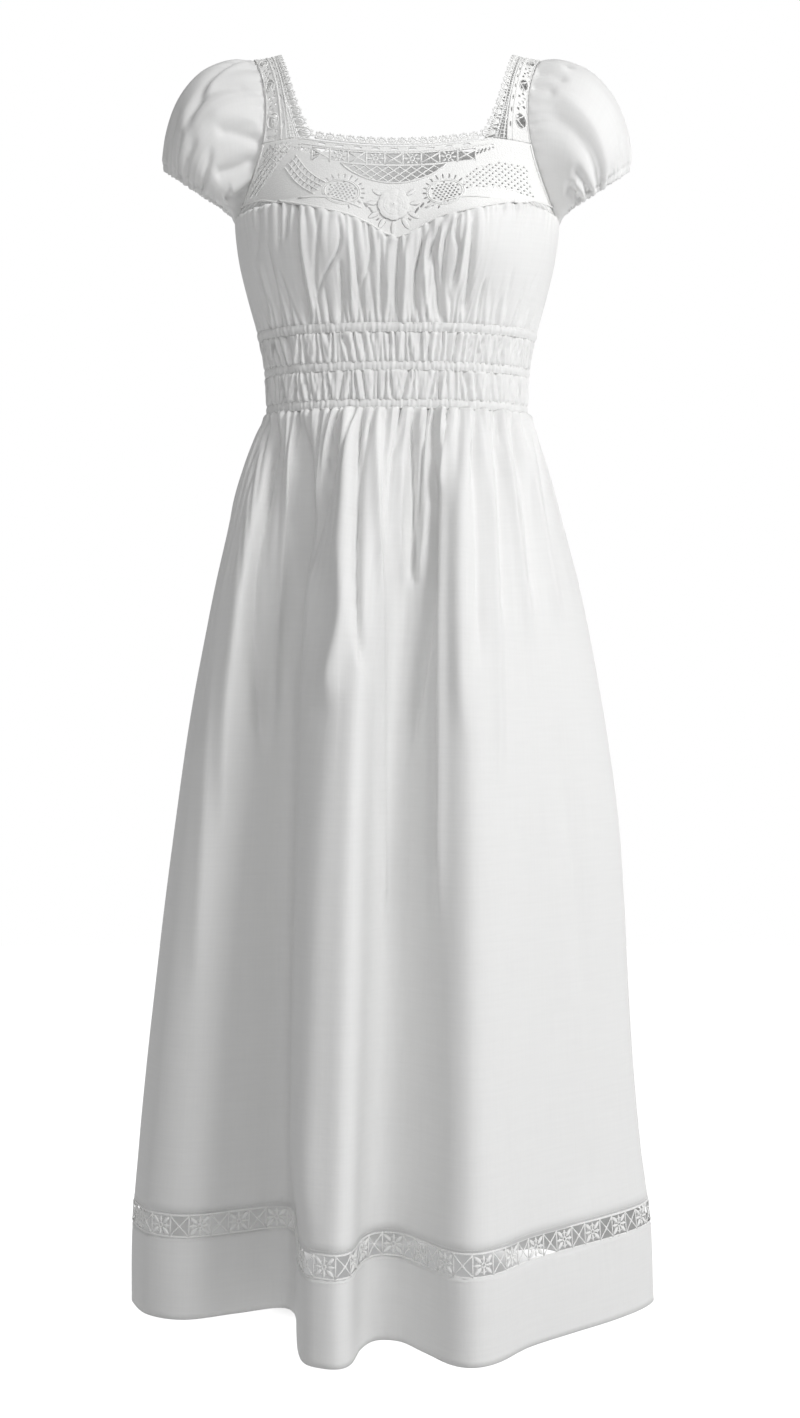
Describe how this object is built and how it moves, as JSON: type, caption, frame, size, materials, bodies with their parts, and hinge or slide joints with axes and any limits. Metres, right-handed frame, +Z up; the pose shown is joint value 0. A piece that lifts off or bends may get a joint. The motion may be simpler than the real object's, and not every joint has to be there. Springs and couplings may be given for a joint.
{
  "type": "sundress",
  "caption": "Long white cotton sundress, hollow as worn: short puff sleeves, square neck with crochet lace yoke and straps, elastic waist, gathered skirt with a lace insertion above the hem.",
  "frame": {"origin": "midway between the two shoulder straps, at the height where they bear on the wearer's shoulders", "axes": "+Z up, +X to the right of someone who faces the front, front towards -Y"},
  "size_m": [0.5192, 0.4439, 1.2359],
  "materials": {
    "cotton": "matte woven cotton",
    "crochet": "matte crocheted cotton thread"
  },
  "bodies": {
    "root": {"bodice_back": "cotton", "bodice_front": "cotton", "hem_band_back": "cotton", "hem_band_front": "cotton", "hem_lace_back": "crochet", "hem_lace_front": "crochet", "neck_edging": "crochet", "rosette": "crochet", "skirt_back": "cotton", "skirt_front": "cotton", "sleeve_left": "cotton", "sleeve_right": "cotton", "strap_edging_left": "crochet", "strap_edging_right": "crochet", "strap_left": "crochet", "strap_right": "crochet", "waist_casing_1_back": "cotton", "waist_casing_1_front": "cotton", "waist_casing_2_back": "cotton", "waist_casing_2_front": "cotton", "waist_casing_3_back": "cotton", "waist_casing_3_front": "cotton", "waist_shirring_1_back": "cotton", "waist_shirring_1_front": "cotton", "waist_shirring_2_back": "cotton", "waist_shirring_2_front": "cotton", "yoke_back": "cotton", "yoke_front": "crochet"}
  },
  "joints": []
}
